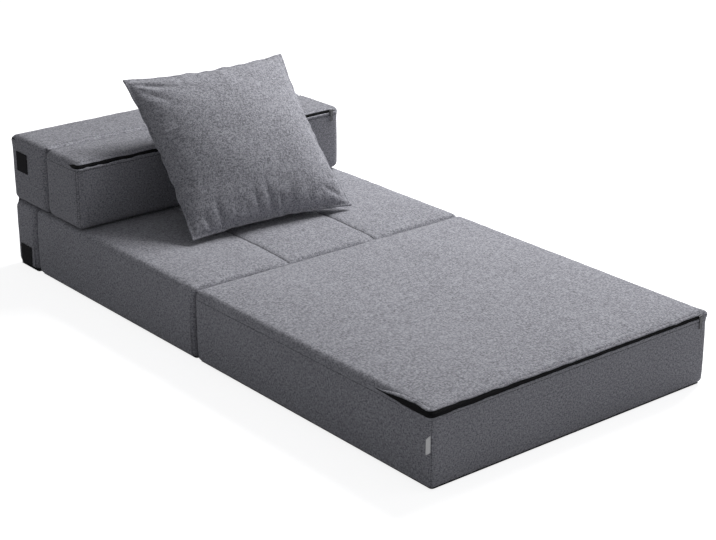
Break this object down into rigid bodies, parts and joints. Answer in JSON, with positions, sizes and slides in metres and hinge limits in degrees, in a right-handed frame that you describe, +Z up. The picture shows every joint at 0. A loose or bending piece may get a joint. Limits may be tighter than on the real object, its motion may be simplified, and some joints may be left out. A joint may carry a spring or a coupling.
{
  "type": "convertible chair bed",
  "caption": "Floor-level convertible chair bed: hinged foam blocks in removable zipped covers, with two flip-over back blocks and a loose throw pillow",
  "frame": {"origin": "centre of the bounding box, on the floor", "axes": "+X to the user's right, +Y to the rear (the foot end lies at -Y), +Z up"},
  "size_m": [0.8028, 1.6112, 0.5114],
  "materials": {
    "cover_cloth": "matte",
    "foam_core": "matte",
    "base_cloth": "matte",
    "zip_cloth": "matte",
    "zip_coil": "satin",
    "zip_metal": "satin",
    "loop_tape": "matte",
    "side_tag": "matte",
    "pillow_fill": "matte"
  },
  "bodies": {
    "seat": {"seat_core": "foam_core", "seat_cover": "cover_cloth", "seat_base_panel": "base_cloth", "spacer_core": "foam_core", "spacer_cover": "cover_cloth", "spacer_base_panel": "base_cloth", "spacer_patch_left": "loop_tape", "spacer_patch_right": "loop_tape", "fold_hinge_piping": "cover_cloth", "spacer_hinge_piping": "cover_cloth", "rear_hinge_lower": "cover_cloth"},
    "front_section": {"front_core": "foam_core", "front_cover": "cover_cloth", "front_base_panel": "base_cloth", "front_zip_tape": "zip_cloth", "front_zip_coil": "zip_coil", "front_side_tag": "side_tag"},
    "front_slider": {"front_zip_slider": "zip_metal", "front_zip_pull": "zip_metal"},
    "headrest": {"headrest_core": "foam_core", "headrest_cover": "cover_cloth", "headrest_zip_tape": "zip_cloth", "headrest_zip_coil": "zip_coil", "headrest_patch_left": "loop_tape", "headrest_patch_right": "loop_tape", "rear_hinge_upper": "cover_cloth", "back_hinge_rear": "cover_cloth"},
    "headrest_slider": {"headrest_zip_slider": "zip_metal", "headrest_zip_pull": "zip_metal"},
    "bolster": {"bolster_core": "foam_core", "bolster_cover": "cover_cloth", "bolster_zip_tape": "zip_cloth", "bolster_zip_coil": "zip_coil", "back_hinge_front": "cover_cloth"},
    "bolster_slider": {"bolster_zip_slider": "zip_metal", "bolster_zip_pull": "zip_metal"},
    "pillow": {"pillow_fill": "pillow_fill", "pillow_front_panel": "cover_cloth", "pillow_back_panel": "cover_cloth"}
  },
  "joints": [
    {"name": "front_section_fold", "type": "hinge", "parent": "seat", "child": "front_section", "pos_m": [0, -0.0025, 0.173], "axis": [-1, 0, 0], "range_deg": [0, 105]},
    {"name": "headrest_flip", "type": "hinge", "parent": "seat", "child": "headrest", "pos_m": [0, 0.8055, 0.173], "axis": [-1, 0, 0], "range_deg": [0, 180]},
    {"name": "bolster_turn", "type": "hinge", "parent": "headrest", "child": "bolster", "pos_m": [0, 0.6325, 0.347], "axis": [1, 0, 0], "range_deg": [-175, 0]},
    {"name": "pillow_lift", "type": "slide", "parent": "seat", "child": "pillow", "axis": [0, 0, 1], "range_m": [0, 0.52]},
    {"name": "front_zip_slide", "type": "slide", "parent": "front_section", "child": "front_slider", "axis": [-1, 0, 0], "range_m": [0, 0.74]},
    {"name": "headrest_zip_slide", "type": "slide", "parent": "headrest", "child": "headrest_slider", "axis": [-1, 0, 0], "range_m": [0, 0.74]},
    {"name": "bolster_zip_slide", "type": "slide", "parent": "bolster", "child": "bolster_slider", "axis": [-1, 0, 0], "range_m": [0, 0.74]}
  ],
  "couplings": [
    {"joint": "pillow_lift", "follows": "bolster_turn", "m_per_rad": -0.17}
  ]
}
